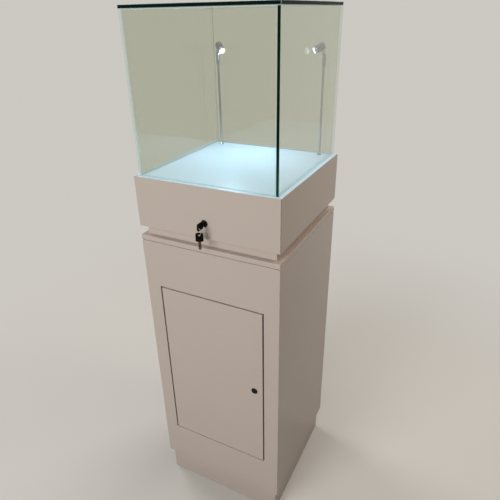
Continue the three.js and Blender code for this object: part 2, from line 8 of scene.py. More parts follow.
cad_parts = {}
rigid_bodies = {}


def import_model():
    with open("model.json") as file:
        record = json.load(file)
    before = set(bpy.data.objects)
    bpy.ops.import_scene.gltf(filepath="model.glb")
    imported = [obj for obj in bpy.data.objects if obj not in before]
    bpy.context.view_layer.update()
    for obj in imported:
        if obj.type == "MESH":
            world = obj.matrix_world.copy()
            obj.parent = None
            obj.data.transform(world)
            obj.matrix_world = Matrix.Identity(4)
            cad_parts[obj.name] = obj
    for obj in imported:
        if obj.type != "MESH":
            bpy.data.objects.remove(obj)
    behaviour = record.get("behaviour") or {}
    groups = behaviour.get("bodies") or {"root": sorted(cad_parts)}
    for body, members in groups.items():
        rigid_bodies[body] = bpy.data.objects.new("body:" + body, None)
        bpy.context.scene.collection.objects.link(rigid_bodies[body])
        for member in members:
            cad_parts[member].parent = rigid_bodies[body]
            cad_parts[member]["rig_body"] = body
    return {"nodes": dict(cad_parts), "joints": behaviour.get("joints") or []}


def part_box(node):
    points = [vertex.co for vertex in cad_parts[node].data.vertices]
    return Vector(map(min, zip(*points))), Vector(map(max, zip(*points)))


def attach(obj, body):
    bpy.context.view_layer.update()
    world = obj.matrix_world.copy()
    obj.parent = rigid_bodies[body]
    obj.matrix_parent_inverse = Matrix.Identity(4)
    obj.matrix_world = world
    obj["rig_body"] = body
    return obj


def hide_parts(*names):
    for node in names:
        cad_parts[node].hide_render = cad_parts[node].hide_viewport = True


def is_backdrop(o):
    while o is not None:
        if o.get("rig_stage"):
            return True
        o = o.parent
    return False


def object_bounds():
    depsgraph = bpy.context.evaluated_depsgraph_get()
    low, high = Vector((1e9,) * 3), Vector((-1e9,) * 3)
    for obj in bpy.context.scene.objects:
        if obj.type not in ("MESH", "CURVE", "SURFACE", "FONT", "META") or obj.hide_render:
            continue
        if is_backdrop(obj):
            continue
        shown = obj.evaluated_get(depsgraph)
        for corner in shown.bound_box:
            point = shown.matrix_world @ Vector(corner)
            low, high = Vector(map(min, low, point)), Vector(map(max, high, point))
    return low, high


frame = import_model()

cad_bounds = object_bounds()

# ---- Camera ----
# A visitor's eye at 1.4 m, to the right of the front, close to the case and looking down on it.
# Its place, its turn and its focal length come from the lines of the case in the photograph.
eye = Vector((0.5702, -1.0483, 1.4154))
eye_turn = math.radians(27.39)
eye_tilt = math.radians(26.97)
eye_roll = math.radians(-1.10)
focal_share_of_width = 0.93194
camera = bpy.data.objects.new("camera", bpy.data.cameras.new("camera"))
camera.data.sensor_width = 36
camera.data.lens = camera.data.sensor_width * focal_share_of_width
camera.matrix_world = (
    Matrix.Translation(eye)
    @ Matrix.Rotation(eye_turn, 4, "Z")
    @ Matrix.Rotation(math.pi / 2 - eye_tilt, 4, "X")
    @ Matrix.Rotation(eye_roll, 4, "Z")
)
bpy.context.scene.collection.objects.link(camera)
bpy.context.scene.camera = camera
bpy.context.scene.view_settings.view_transform = "Standard"


# ---- Studio ----
# A plain pale floor that fades into a backdrop of one tone, under soft lights on all sides, the
# strongest at the front left and a small warm one high on the right. No pane mirrors the strong
# ones as white squares: a dim card stands in for them on metal and lacquer.
class Value:
    """A socket of a node tree. Arithmetic on it adds Math nodes, so 1 - mask is a value as well."""

    def __init__(self, tree, socket=None):
        self.tree = tree
        self.socket = socket

    def node(self, kind, settings=None, inputs=None, output=0):
        """Adds a node: its settings first, then the values or links of its sockets."""
        made = self.tree.nodes.new("ShaderNode" + kind)
        for name, setting in (settings or {}).items():
            setattr(made, name, setting)
        for name, value in (inputs or {}).items():
            if isinstance(value, Value):
                self.tree.links.new(value.socket, made.inputs[name])
            else:
                made.inputs[name].default_value = value
        return Value(self.tree, made.outputs[output] if made.outputs else None)

    def out(self, name):
        return Value(self.tree, self.socket.node.outputs[name])

    def mix(self, first, second):
        """The colour between two, with this value as the second one's share."""
        return self.node("Mix", {"data_type": "RGBA"}, {0: self, 6: first, 7: second}, 2)

    def cover(self, inputs):
        """Ends a material in one Principled surface."""
        self.node("OutputMaterial", {}, {"Surface": self.node("BsdfPrincipled", {}, inputs)})

    def math(self, operation, first, second):
        return self.node("Math", {"operation": operation}, {0: first, 1: second})

    def __add__(self, other):
        return self.math("ADD", self, other)

    def __sub__(self, other):
        return self.math("SUBTRACT", self, other)

    def __rsub__(self, other):
        return self.math("SUBTRACT", other, self)

    def __mul__(self, other):
        return self.math("MULTIPLY", self, other)

    def __pow__(self, other):
        return self.math("POWER", self, other)

    __radd__ = __add__
    __rmul__ = __mul__


def new_material(name):
    made = bpy.data.materials.new(name)
    made.use_nodes = True
    made.node_tree.nodes.clear()
    return made, Value(made.node_tree)


def seen_ray(tree):
    """1 for a ray that is seen, straight, mirrored or through glass, and 0 for one that lights."""
    ray = tree.node("LightPath", output="Is Camera Ray")
    return ray + ray.out("Is Glossy Ray") + ray.out("Is Transmission Ray")


backdrop_tone = (0.60, 0.58, 0.54, 1)
ambient_share = 0.23
floor_tone = (0.56, 0.545, 0.515, 1)
floor_bounce_tone = (0.11, 0.10, 0.09, 1)
floor_radius = 60
fade_from, fade_to = 0.8, 2.2

world = bpy.data.worlds.new("studio")
world.use_nodes = True
world.node_tree.nodes.clear()
bpy.context.scene.world = world
air = Value(world.node_tree)
strength = ambient_share + seen_ray(air) * (1 - ambient_share)
glow = air.node("Background", {}, {"Color": backdrop_tone, "Strength": strength})
air.node("OutputWorld", {}, {"Surface": glow})

floor_paint, dye = new_material("studio_floor")
place = dye.node("TexCoord", output="Object")
distance = dye.node("VectorMath", {"operation": "LENGTH"}, {0: place}, output="Value")
far = dye.node("MapRange", {"interpolation_type": "SMOOTHSTEP"},
               {"Value": distance, "From Min": fade_from, "From Max": fade_to})
cloud = dye.node("TexNoise", {}, {"Vector": place, "Scale": 9, "Detail": 3})
seen = seen_ray(dye)
tone = seen.mix(floor_bounce_tone, floor_tone)
near_floor = dye.node("BsdfPrincipled", {}, {"Base Color": tone, "Roughness": 0.55 + cloud * 0.1})
strength = ambient_share + seen * (1 - ambient_share)
far_floor = dye.node("Emission", {}, {"Color": backdrop_tone, "Strength": strength})
faded = dye.node("MixShader", {}, {0: far, 1: near_floor, 2: far_floor})
dye.node("OutputMaterial", {}, {"Surface": faded})

mesh = bmesh.new()
bmesh.ops.create_circle(mesh, cap_ends=True, radius=floor_radius, segments=96)
floor = bpy.data.objects.new("studio_floor", bpy.data.meshes.new("studio_floor"))
mesh.to_mesh(floor.data)
mesh.free()
floor.data.materials.append(floor_paint)
bpy.context.scene.collection.objects.link(floor)
floor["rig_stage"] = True

softboxes = {
    "key": ((-1.0, -3.1, 2.4), 1.5, 60, (1.0, 0.985, 0.97)),
    "front": ((0.0, -3.2, 1.3), 1.5, 37, (1.0, 0.985, 0.97)),
    "top": ((0.2, -0.2, 3.4), 1.6, 9, (0.97, 0.98, 1.0)),
    "right": ((1.5, 0.4, 2.3), 0.9, 12, (1.0, 0.79, 0.60)),
    "back": ((0.9, 3.0, 2.5), 1.6, 58, (1.0, 0.98, 0.96)),
    "left": ((-2.9, 1.0, 2.3), 1.5, 50, (1.0, 0.985, 0.97)),
    "card": ((-1.0, -3.1, 2.4), 1.5, 16, (1.0, 1.0, 1.0)),
}
unmirrored = ("key", "front", "back", "left")
mirrored_only = "card"
aim = Vector((0, 0, 0.8))
for name, (stand, side, power, tone) in softboxes.items():
    softbox = bpy.data.objects.new(f"light_{name}", bpy.data.lights.new(f"light_{name}", "AREA"))
    softbox.data.size = side
    softbox.data.energy = power
    softbox.data.color = tone
    softbox.location = stand
    softbox.visible_glossy = name not in unmirrored
    softbox.visible_diffuse = name != mirrored_only
    softbox.rotation_euler = (aim - Vector(stand)).to_track_quat("-Z", "Y").to_euler()
    bpy.context.scene.collection.objects.link(softbox)


# ---- Plinth ----
# Four boards of 18 mm MDF glued into a frame on the floor, set back 10 mm under the base. They are
# sprayed with the same gloss lacquer as the whole case: warm white, flatted and polished.
faces = {
    "front": Vector((0, -1, 0)), "back": Vector((0, 1, 0)),
    "left": Vector((-1, 0, 0)), "right": Vector((1, 0, 0)), "bottom": Vector((0, 0, -1)),
}
board_arris = 0.0010
arris_angle = math.radians(25)
smooth_angle = math.radians(38)
overrun = 0.010
scuff_and_floor_shade_height = 0.12
scuff_and_floor_shade_share = 0.35

lacquer_tone = (0.495, 0.430, 0.385, 1)
lacquer_warm_tone = (0.468, 0.398, 0.348, 1)
scuff_and_floor_shade_tone = (0.290, 0.240, 0.190, 1)
lacquer, paint = new_material("gloss_lacquer")
place = paint.node("TexCoord", output="Object")
height = paint.node("SeparateXYZ", {}, {0: place}, output="Z")
cloud = paint.node("TexNoise", {}, {"Vector": place, "Scale": 3.1, "Detail": 3, "Roughness": 0.55})
peel = paint.node("TexNoise", {}, {"Vector": place, "Scale": 210, "Detail": 2})
wipe = paint.node("TexNoise", {}, {"Vector": place, "Scale": 17, "Detail": 4, "Roughness": 0.6})
# Below 12 cm the lacquer darkens in patches towards the floor: partly scuffs and partly painted
# shade near the floor.
scuff_and_floor_shade = paint.node("TexNoise", {}, {"Vector": place, "Scale": 42, "Detail": 5})
raised = paint.node("MapRange", {}, {"Value": height, "From Max": scuff_and_floor_shade_height})
tone = cloud.mix(lacquer_tone, lacquer_warm_tone)
tone = ((1 - raised) * scuff_and_floor_shade * scuff_and_floor_shade_share).mix(tone, scuff_and_floor_shade_tone)
relief = paint.node("Bump", {}, {"Height": peel, "Strength": 0.25, "Distance": 0.00003})
paint.cover({
    "Base Color": tone, "Roughness": 0.18 + wipe * 0.10, "Normal": relief,
    "Specular IOR Level": 0.22, "Coat Weight": 0.12, "Coat Roughness": 0.06,
})


def add_piece(name, mesh, materials, body, replaced=(), cuts=()):
    """Makes a mesh a named piece: cuts it, shades it, rides it on its body."""
    data = bpy.data.meshes.new(name)
    mesh.to_mesh(data)
    mesh.free()
    for material in materials:
        data.materials.append(material)
    made = bpy.data.objects.new(name, data)
    bpy.context.scene.collection.objects.link(made)
    for tool in cuts:
        cutter = bpy.data.objects.new("cutter", bpy.data.meshes.new("cutter"))
        tool.to_mesh(cutter.data)
        tool.free()
        bpy.context.scene.collection.objects.link(cutter)
        cut = made.modifiers.new("cut", "BOOLEAN")
        cut.object = cutter
        cut.solver = "EXACT"
        bpy.context.view_layer.update()
        graph = bpy.context.evaluated_depsgraph_get()
        made_data = bpy.data.meshes.new_from_object(made.evaluated_get(graph))
        made.modifiers.clear()
        made.data = made_data
        bpy.data.objects.remove(cutter)
    made.data.shade_smooth()
    made.data.set_sharp_from_angle(angle=smooth_angle)
    made.modifiers.new("face weighted normals", "WEIGHTED_NORMAL").keep_sharp = True
    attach(made, body)
    if replaced:
        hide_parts(*replaced)
    return made


def body_of(node):
    return frame["nodes"][node]["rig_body"]


def round_arrises(mesh, radius, glued="", segments=3):
    """Rounds the sharp edges, apart from those of the faces that are glued to another board."""
    mesh.normal_update()
    kept = [faces[side] for side in glued.split()]
    arrises = []
    for edge in mesh.edges:
        first, second = [face.normal for face in edge.link_faces]
        if first.angle(second) > arris_angle and not any(
            normal.dot(side) > 0.99 for normal in (first, second) for side in kept
        ):
            arrises.append(edge)
    bmesh.ops.bevel(mesh, geom=arrises, offset=radius, segments=segments, profile=0.5,
                    affect="EDGES", clamp_overlap=True)


def block(low, high):
    mesh = bmesh.new()
    bmesh.ops.create_cube(mesh, size=1)
    for vert in mesh.verts:
        vert.co = Vector(high[i] if vert.co[i] > 0 else low[i] for i in range(3))
    return mesh


def rod(radius, start, end, steps=48):
    """Round cutter from one point to another."""
    run = end - start
    place = Matrix.Translation((start + end) / 2) @ run.to_track_quat("Z", "Y").to_matrix().to_4x4()
    mesh = bmesh.new()
    bmesh.ops.create_cone(mesh, cap_ends=True, segments=steps, radius1=radius, radius2=radius,
                          depth=run.length, matrix=place)
    return mesh


def add_board(node, glued="", materials=(lacquer,), cuts=()):
    """A plain board with rounded arrises. A second material is for its top face."""
    mesh = block(*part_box(node))
    round_arrises(mesh, board_arris, glued)
    for face in mesh.faces:
        face.material_index = int(len(materials) > 1 and face.normal.z > 0.9)
    add_piece(f"{node}_board", mesh, materials, body_of(node), [node], cuts)


for frame_name in ("plinth", "neck"):
    add_board(f"{frame_name}_front", "back")
    add_board(f"{frame_name}_back", "front")
    add_board(f"{frame_name}_left", "front back")
    add_board(f"{frame_name}_right", "front back")


# ---- Base carcass ----
# Front, sides and back are glued, filled and sprayed as one shell, so only the outer arrises show.
# The 15 mm top board is laid on afterwards, and its arris leaves a fine seam all round.
seam_height = 0.0018
seam_depth = 0.005
door_gap = 0.004
outlet_radius = 0.010
outlet = Vector((-0.12, 0, 0.144))
cable_radius = 0.010
cable_place = Vector((0, 0.1658, 0))

front_low, front_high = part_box("front_panel")
door_low, door_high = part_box("door")
columns = [front_low.x, door_low.x - door_gap, door_high.x + door_gap, front_high.x]
rows = [front_low.z, door_low.z - door_gap, door_high.z + door_gap, front_high.z]
mesh = bmesh.new()
layers = []
for y in (front_low.y, front_high.y):
    layers.append([[mesh.verts.new((x, y, z)) for x in columns] for z in rows])
cells = [(r, c) for r in range(3) for c in range(3) if (r, c) != (1, 1)]
for r, c in cells:
    for layer in layers:
        mesh.faces.new((layer[r][c], layer[r][c + 1], layer[r + 1][c + 1], layer[r + 1][c]))
    sides = {
        (r - 1, c): ((r, c), (r, c + 1)), (r + 1, c): ((r + 1, c), (r + 1, c + 1)),
        (r, c - 1): ((r, c), (r + 1, c)), (r, c + 1): ((r, c + 1), (r + 1, c + 1)),
    }
    for neighbour, ((r0, c0), (r1, c1)) in sides.items():
        if neighbour not in cells:
            near, back = layers
            mesh.faces.new((near[r0][c0], near[r1][c1], back[r1][c1], back[r0][c0]))
bmesh.ops.recalc_face_normals(mesh, faces=mesh.faces)
round_arrises(mesh, board_arris, "back")
add_piece("front_panel_board", mesh, [lacquer], "case", ["front_panel"])

add_board("left_panel", "front back")
add_board("right_panel", "front back")
back_low, back_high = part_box("back_panel")
outlet_cut = rod(outlet_radius, Vector((outlet.x, back_low.y - overrun, outlet.z)),
                 Vector((outlet.x, back_high.y + overrun, outlet.z)))
add_board("back_panel", "front", cuts=[outlet_cut])

# The joint under the top board is open by nearly 2 mm, which shows as the dark line.
top_low, top_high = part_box("top_panel")
mesh = block(top_low + Vector((0, 0, seam_height)), top_high)
under = [face for face in mesh.faces if face.normal.z < -0.9]
bmesh.ops.inset_region(mesh, faces=under, thickness=seam_depth)
lowered = bmesh.ops.extrude_face_region(mesh, geom=under)["geom"]
bmesh.ops.translate(mesh, verts=[part for part in lowered if isinstance(part, bmesh.types.BMVert)],
                    vec=(0, 0, -seam_height))
bmesh.ops.delete(mesh, geom=under, context="FACES")
round_arrises(mesh, board_arris / 2, "bottom")
cable_cut = rod(cable_radius, cable_place + Vector((0, 0, top_low.z - overrun)),
                cable_place + Vector((0, 0, top_high.z + overrun)))
add_piece("top_panel_board", mesh, [lacquer], "case", ["top_panel"], [cable_cut])


# ---- Inside boards ----
# The cupboard's bottom, the floor of the upper box, the sides of the drawer and the door stop are
# satin white board that is seen only when the door or the drawer is open.
inner_tone = (0.50, 0.47, 0.43, 1)
inner_dust_tone = (0.42, 0.39, 0.35, 1)
inner, paint = new_material("satin_board")
place = paint.node("TexCoord", output="Object")
dust = paint.node("TexNoise", {}, {"Vector": place, "Scale": 26, "Detail": 5, "Roughness": 0.65})
pores = paint.node("TexNoise", {}, {"Vector": place, "Scale": 620, "Detail": 2})
tone = dust.mix(inner_tone, inner_dust_tone)
relief = paint.node("Bump", {}, {"Height": pores, "Strength": 0.3, "Distance": 0.00004})
paint.cover({"Base Color": tone, "Roughness": 0.42 + dust * 0.16, "Normal": relief})
for node in ("base_panel", "upper_floor", "drawer_side_left", "drawer_side_right", "door_stop"):
    add_board(node, materials=[inner])


# ---- Door ----
# One inset leaf with a 4 mm shadow gap all round. It turns on two steel pins at its left edge, each
# with a collar that carries the leaf, and has the cam lock at its right edge.
lock_hole = 0.0083
lock_hole_depth = 0.030
joint = {item["name"]: item for item in frame["joints"]}


def lock_bore(lock):
    """Cutter for a lock's hole, right through its board."""
    place = Vector(joint[f"{lock}_lock_turn"]["pos_m"])
    return rod(lock_hole, place - Vector((0, overrun, 0)), place + Vector((0, lock_hole_depth, 0)))


add_board("door", cuts=[lock_bore("door")])


# ---- Steel ----
# The hinge pins, lock cams, strike and slides are turned or pressed steel, zinc plated, with the
# faint drawing marks of the sheet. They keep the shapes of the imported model.
zinc_tone = (0.50, 0.51, 0.52, 1)
zinc_dull_tone = (0.36, 0.365, 0.37, 1)
zinc, plate = new_material("zinc_plated_steel")
place = plate.node("TexCoord", output="Object")
along = plate.node("Mapping", {}, {"Vector": place, "Scale": (900, 40, 900)})
drawn = plate.node("TexNoise", {}, {"Vector": along, "Scale": 1, "Detail": 3})
bloom = plate.node("TexNoise", {}, {"Vector": place, "Scale": 60, "Detail": 4})
tone = bloom.mix(zinc_tone, zinc_dull_tone)
relief = plate.node("Bump", {}, {"Height": drawn, "Strength": 0.25, "Distance": 0.00003})
plate.cover({
    "Base Color": tone, "Metallic": 1.0, "Roughness": 0.26 + bloom * 0.22, "Normal": relief,
})
steel_nodes = ["door_lock_cam", "drawer_lock_cam", "lock_strike"]
steel_nodes += ["hinge_pin_top", "hinge_pin_bottom"]
for hand in ("left", "right"):
    steel_nodes += [f"slide_{member}_{hand}" for member in ("outer", "middle", "inner")]
for node in steel_nodes:
    frame["nodes"][node].material_slots[0].material = zinc


# ---- Cam locks ----
# A dark plated die-cast lock in the door and another in the upper front: a domed bezel on a
# threaded barrel, a hexagon nut behind the board and a plug with the keyway.
bezel_radius = 0.0095
bezel_depth = 0.0026
bezel_edge = 0.0008
bezel_softness = 0.0006
dome_width, dome_fall = 0.0020, 0.0002
barrel_radius = 0.0080
bore_radius = 0.0057
mouth_width, mouth_depth = 0.0007, 0.0006
seat_gap = 0.0001
thread_start = 0.0010
thread_pitch = 0.001
thread_depth = 0.0004
nut_arris = 0.0005
plug_radius = 0.0055
plug_sunk = 0.0002
plug_rim_width, plug_rim_step, plug_rim_fall = 0.0009, 0.0002, 0.0003
tail_radius = 0.0028
tail_end_radius, tail_end_length = 0.0045, 0.0015
fine_softness = 0.0003
keyway_width = 0.0024
keyway_height = 0.0074
keyway_depth = 0.018

plated_tone = (0.008, 0.007, 0.006, 1)
plated_light_tone = (0.022, 0.020, 0.018, 1)
plated, plate = new_material("dark_plated_metal")
place = plate.node("TexCoord", output="Object")
bloom = plate.node("TexNoise", {}, {"Vector": place, "Scale": 240, "Detail": 4})
tone = bloom.mix(plated_tone, plated_light_tone)
plate.cover({
    "Base Color": tone, "Metallic": 1.0, "Roughness": 0.14 + bloom * 0.12,
    "Coat Weight": 0.3, "Coat Roughness": 0.10,
})


def turned(profile, place, steps=48):
    """Revolves (radius, height) pairs about the Z of a place. Off the axis, it closes on itself."""
    mesh = bmesh.new()
    rings = []
    for radius, height in profile:
        ring = []
        for step in range(steps if radius > 0 else 1):
            angle = 2 * math.pi * step / steps
            point = Vector((radius * math.cos(angle), radius * math.sin(angle), height))
            ring.append(mesh.verts.new(place @ point))
        rings.append(ring)
    following = rings[1:] + (rings[:1] if profile[0][0] > 0 else [])
    for ring, after in zip(rings, following):
        for step in range(steps):
            turn = step + 1
            corners = [ring[step % len(ring)], ring[turn % steps % len(ring)],
                       after[turn % steps % len(after)], after[step % len(after)]]
            mesh.faces.new(list(dict.fromkeys(corners)))
    bmesh.ops.recalc_face_normals(mesh, faces=mesh.faces)
    return mesh


def softened(profile, radius, steps=3):
    """Replaces each inner corner of a profile by a small curve, at most to near mid-edge."""
    points = [Vector(point) for point in profile]
    soft = [points[0]]
    for before, corner, after in zip(points, points[1:], points[2:]):
        cut_in = min(radius, (before - corner).length / 2.2)
        cut_out = min(radius, (after - corner).length / 2.2)
        start = corner + (before - corner).normalized() * cut_in
        end = corner + (after - corner).normalized() * cut_out
        for step in range(steps + 1):
            share = step / steps
            soft.append(start.lerp(corner, share).lerp(corner.lerp(end, share), share))
    return [tuple(point) for point in soft + [points[-1]]]


def prism(outline, place, low, high):
    """Extrudes an outline of (x, y) pairs along the Z of a place."""
    mesh = bmesh.new()
    bottom = [mesh.verts.new(place @ Vector((x, y, low))) for x, y in outline]
    top = [mesh.verts.new(place @ Vector((x, y, high))) for x, y in outline]
    mesh.faces.new(bottom)
    mesh.faces.new(top)
    for i in range(len(outline)):
        j = (i + 1) % len(outline)
        mesh.faces.new((bottom[i], bottom[j], top[j], top[i]))
    bmesh.ops.recalc_face_normals(mesh, faces=mesh.faces)
    return mesh


for lock in ("door", "drawer"):
    body = body_of(f"{lock}_lock_body")
    low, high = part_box(f"{lock}_lock_body")
    middle = (low + high) / 2
    face = low.y + bezel_depth
    length = high.y - face
    place = Matrix.Translation((middle.x, face, middle.z)) @ Matrix.Rotation(-math.pi / 2, 4, "X")
    nut_low, nut_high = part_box(f"{lock}_lock_nut")
    lip = -bezel_depth
    front = softened([
        (bore_radius, lip + mouth_depth), (bore_radius + mouth_width, lip),
        (bezel_radius - dome_width, lip + dome_fall), (bezel_radius - bezel_edge, lip + bezel_edge),
        (bezel_radius, -bezel_edge), (bezel_radius, -seat_gap), (barrel_radius, -seat_gap),
        (barrel_radius, thread_start),
    ], bezel_softness)
    thread = []
    for turn in range(int(length / thread_pitch) - 1):
        root = thread_start + turn * thread_pitch
        thread += [(barrel_radius, root), (barrel_radius - thread_depth, root + thread_pitch / 2)]
    profile = front[:-1] + thread + [(barrel_radius, length), (bore_radius, length)]
    add_piece(f"{lock}_lock_shell", turned(profile, place), [plated], body,
              [f"{lock}_lock_body"])

    corner = (nut_high.x - nut_low.x) / 2
    hexagon = [(corner * math.cos(i * math.pi / 3), corner * math.sin(i * math.pi / 3))
               for i in range(6)]
    mesh = prism(hexagon, place, nut_low.y - face, nut_high.y - face)
    round_arrises(mesh, nut_arris)
    hole = rod(lock_hole, Vector((middle.x, nut_low.y - overrun, middle.z)),
               Vector((middle.x, nut_high.y + overrun, middle.z)))
    add_piece(f"{lock}_lock_hexagon", mesh, [zinc], body, [f"{lock}_lock_nut"], [hole])

    plug_low, plug_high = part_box(f"{lock}_lock_plug")
    tail = plug_high.y - face
    sunk = lip + plug_sunk
    rim = plug_radius - plug_rim_width
    profile = softened([
        (0, sunk), (rim, sunk), (rim + plug_rim_step, sunk + plug_rim_fall),
        (plug_radius, sunk + plug_rim_step), (plug_radius, length), (tail_radius, length),
        (tail_radius, tail - tail_end_length), (tail_end_radius, tail - tail_end_length),
        (tail_end_radius, tail), (0, tail),
    ], fine_softness)
    across, up = keyway_width / 2, keyway_height / 2
    keyway = block((middle.x - across, plug_low.y - overrun, middle.z - up),
                   (middle.x + across, plug_low.y + keyway_depth, middle.z + up))
    add_piece(f"{lock}_lock_cylinder", turned(profile, place), [plated],
              body_of(f"{lock}_lock_plug"), [f"{lock}_lock_plug"], [keyway])


# ---- Upper box ----
# Two side walls and a back wall of lacquered board carry the fixed glass. The walls' front ends are
# mitred for the pull-out front, which leaves an upright line at each corner. The rim is cool white.
mitre_arris = 0.0004

deck_tone = (0.56, 0.70, 0.84, 1)
deck_pale_tone = (0.60, 0.735, 0.87, 1)
deck_white, paint = new_material("cool_white_gloss")
place = paint.node("TexCoord", output="Object")
cloud = paint.node("TexNoise", {}, {"Vector": place, "Scale": 7, "Detail": 3})
peel = paint.node("TexNoise", {}, {"Vector": place, "Scale": 240, "Detail": 2})
tone = cloud.mix(deck_tone, deck_pale_tone)
relief = paint.node("Bump", {}, {"Height": peel, "Strength": 0.2, "Distance": 0.00003})
paint.cover({
    "Base Color": tone, "Roughness": 0.26 + cloud * 0.10, "Normal": relief,
    "Coat Weight": 0.25, "Coat Roughness": 0.14,
})


def add_mitred_board(node, outline, cuts=()):
    """A board with mitred ends, drawn in plan, and with a cool white top edge."""
    low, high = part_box(node)
    mesh = prism(outline, Matrix.Identity(4), low.z, high.z)
    round_arrises(mesh, mitre_arris)
    for face in mesh.faces:
        face.material_index = int(face.normal.z > 0.9)
    add_piece(f"{node}_board", mesh, [lacquer, deck_white], body_of(node), [node], cuts)


for hand, side in (("left", -1), ("right", 1)):
    low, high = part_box(f"upper_{hand}")
    outer = max(abs(low.x), abs(high.x)) * side
    inside = min(abs(low.x), abs(high.x)) * side
    outline = [(outer, low.y), (outer, high.y), (inside, high.y),
               (inside, low.y + abs(outer - inside))]
    add_mitred_board(f"upper_{hand}", outline)
add_board("upper_back", "front", [lacquer, deck_white])


# ---- Pull-out front ----
# One lacquered board over the full width, mitred at both ends, with the lock at its middle. The
# deck, the front pane and the drawer sides are fixed to it and slide out with it.
low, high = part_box("drawer_front")
thickness = high.y - low.y
outline = [(low.x, low.y), (high.x, low.y),
           (high.x - thickness, high.y), (low.x + thickness, high.y)]
add_mitred_board("drawer_front", outline, [lock_bore("drawer")])


# ---- Deck and lamp strip ----
# The deck is a cool white gloss board that pulls out with the front. Behind it, a narrow strip of
# the same board is fixed to the back wall and holds the lamps.
stud_hole = 0.0043
add_board("deck", materials=[deck_white])
stud_holes = []
strip_low, strip_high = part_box("lamp_strip")
for hand in ("left", "right"):
    pole_low, pole_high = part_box(f"lamp_{hand}_pole")
    foot = (pole_low + pole_high) / 2
    stud_holes.append(rod(stud_hole, Vector((foot.x, foot.y, strip_low.z - overrun)),
                          Vector((foot.x, foot.y, strip_high.z + overrun))))
add_board("lamp_strip", materials=[deck_white], cuts=stud_holes)


# ---- Glass hood ----
# Five panes of 8 mm float glass with polished edges, bonded edge to edge. The front one stands on
# the pull-out front and slides between the others. Seen along a pane, the glass is very dark green.
glass_tint = (0.905, 0.913, 0.872, 1)
mirror_tone = (0.97, 1, 0.98, 1)
mirrored_straight_on = 0.043
edge_tone = (0.0006, 0.0045, 0.0026, 1)
edge_painted_deck_light_tone = (0.004, 0.050, 0.042, 1)
lit_edge_tone = (0.40, 0.62, 0.62, 1)
arris_glint_tone = (0.50, 0.66, 0.63, 1)
edge_light_reach = 0.12
pane_arris = 0.0008
dark_edges = {"top": "front back left right", "right": "front"}
clear_edges = {"front": "left right", "back": "left right", "left": "back", "right": "back"}

glass, clear = new_material("float_glass")
slant = clear.node("LayerWeight", {}, {"Blend": 0.5}, "Facing")
mirrored = mirrored_straight_on + slant ** 5 * (1 - mirrored_straight_on)
through = clear.node("BsdfTransparent", {}, {"Color": glass_tint})
mirror = clear.node("BsdfPrincipled", {}, {
    "Base Color": mirror_tone, "Metallic": 1.0, "Roughness": 0.015,
})
pane = clear.node("MixShader", {}, {0: mirrored, 1: through, 2: mirror})
clear.node("OutputMaterial", {}, {"Surface": pane})

glass_edge, clear = new_material("polished_glass_edge")
place = clear.node("TexCoord", output="Object")
height = clear.node("SeparateXYZ", {}, {0: place}, output="Z")
# Up to 12 cm above the deck, the dark edge is painted a lighter green: painted light from the lit
# deck.
deck_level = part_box("deck")[1].z
unlit = clear.node("MapRange", {"interpolation_type": "SMOOTHSTEP"}, {
    "Value": height, "From Min": deck_level, "From Max": deck_level + edge_light_reach,
})
streak = clear.node("TexNoise", {}, {"Vector": place, "Scale": 35, "Detail": 3})
tone = ((1 - unlit) * 0.8 + streak * 0.15).mix(edge_tone, edge_painted_deck_light_tone)
clear.cover({"Base Color": tone, "Roughness": 0.16 + streak * 0.1, "Specular IOR Level": 0.05})

# Edges that are neither dark nor clear are painted pale cyan and half clear: painted light that the
# glass carries from the lit deck to its edges.
glass_lit_edge, clear = new_material("lit_glass_edge")
place = clear.node("TexCoord", output="Object")
streak = clear.node("TexNoise", {}, {"Vector": place, "Scale": 50, "Detail": 3})
clear.cover({
    "Base Color": lit_edge_tone, "Roughness": 0.12 + streak * 0.1, "Alpha": 0.22 + streak * 0.16,
})

# The arrises are painted pale cyan and half clear: a painted glint along each polished edge.
glass_arris_glint, clear = new_material("glass_arris_glint")
place = clear.node("TexCoord", output="Object")
streak = clear.node("TexNoise", {}, {"Vector": place, "Scale": 90, "Detail": 3})
clear.cover({
    "Base Color": arris_glint_tone, "Roughness": 0.18 + streak * 0.1, "Alpha": 0.45 + streak * 0.2,
})

pane_finishes = [glass, glass_edge, glass_lit_edge, glass_arris_glint]
for side in ("left", "right", "back", "top", "front"):
    node = f"hood_{side}"
    low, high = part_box(node)
    size = high - low
    thin = min(range(3), key=lambda i: size[i])
    mesh = block(low, high)
    bmesh.ops.bevel(mesh, geom=mesh.edges[:], offset=pane_arris, segments=1, profile=0.5,
                    affect="EDGES", clamp_overlap=True)
    mesh.normal_update()
    dark = [faces[name] for name in dark_edges.get(side, "").split()]
    plain = [faces[name] for name in clear_edges.get(side, "").split()]
    for face in mesh.faces:
        finish = glass
        if max(abs(part) for part in face.normal) < 0.95:
            finish = glass_arris_glint
        elif any(face.normal.dot(end) > 0.9 for end in dark):
            finish = glass_edge
        elif abs(face.normal[thin]) < 0.5 and not any(face.normal.dot(end) > 0.9 for end in plain):
            finish = glass_lit_edge
        face.material_index = pane_finishes.index(finish)
    add_piece(f"{node}_pane", mesh, pane_finishes, body_of(node), [node])


# ---- Keys ----
# Two keys with black moulded heads and worn, bronze-coloured blades. One is in the upper lock, and
# the other hangs from it on a split ring of spring wire, its head facing the front.
head_length = 0.023
head_width = 0.019
head_thickness = 0.003
head_corner = 0.005
head_arris = 0.0007
key_hole = 0.0026
key_hole_inset = 0.0065
key_exposed = 0.006
grip_margin = 0.003
grip_corner = 0.0015
grip_neck = 0.0025
grip_recess = 0.0003
blade_length = 0.022
blade_width = 0.007
blade_thickness = 0.002
blade_root = 0.001
blade_point = 0.002
blade_arris = 0.00015
notch_count = 4
notch_start = 0.003
notch_pitch = 0.0034
notch_depth = 0.0016
notch_fade = 0.2

